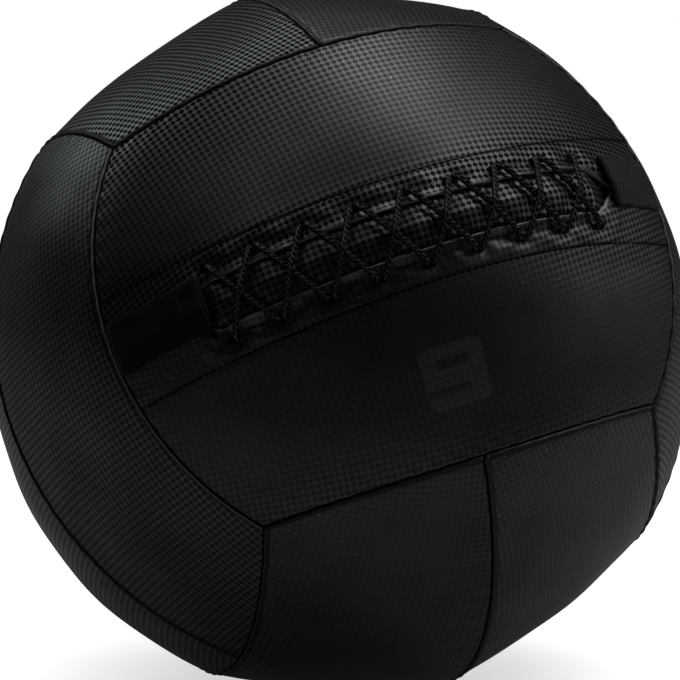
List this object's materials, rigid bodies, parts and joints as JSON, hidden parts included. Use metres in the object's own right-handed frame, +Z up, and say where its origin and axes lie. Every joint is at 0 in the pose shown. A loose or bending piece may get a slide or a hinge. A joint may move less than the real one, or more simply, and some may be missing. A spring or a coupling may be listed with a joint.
{
  "type": "wall ball",
  "caption": "Round soft weighted ball of sewn leatherette strips with a laced closure, for throwing and conditioning exercise.",
  "frame": {"origin": "on the floor, in the middle of the small flat that the ball rests on, straight below the ball's centre", "axes": "+Z up, -Y towards the viewer of the laced face, +X to the viewer's right; the lacing runs left to right, tipped up and turned as the ball lies"},
  "size_m": [0.3552, 0.3518, 0.3488],
  "materials": {
    "leatherette": "near-black polyurethane leatherette embossed with a small plain weave, soft sheen",
    "lace_cord": "black braided round cord",
    "webbing": "black woven nylon webbing",
    "foam": "dark grey closed-cell foam sheet",
    "textile_fill": "packed grey shredded textile",
    "canvas": "plain undyed canvas bag of grit"
  },
  "bodies": {
    "root": {"front_upper_panel": "leatherette", "front_lower_panel": "leatherette", "rear_upper_panel": "leatherette", "rear_lower_panel": "leatherette", "right_front_panel": "leatherette", "right_rear_panel": "leatherette", "left_front_panel": "leatherette", "left_rear_panel": "leatherette", "top_right_panel": "leatherette", "top_left_panel": "leatherette", "bottom_right_panel": "leatherette", "bottom_left_panel": "leatherette", "upper_flap_facing": "leatherette", "lower_flap_facing": "leatherette", "closure_tongue": "leatherette", "lace": "lace_cord", "left_end_tab": "webbing", "right_end_tab": "webbing", "foam_padding": "foam", "front_filling": "textile_fill", "rear_filling": "textile_fill", "ballast_bag": "canvas"}
  },
  "joints": []
}
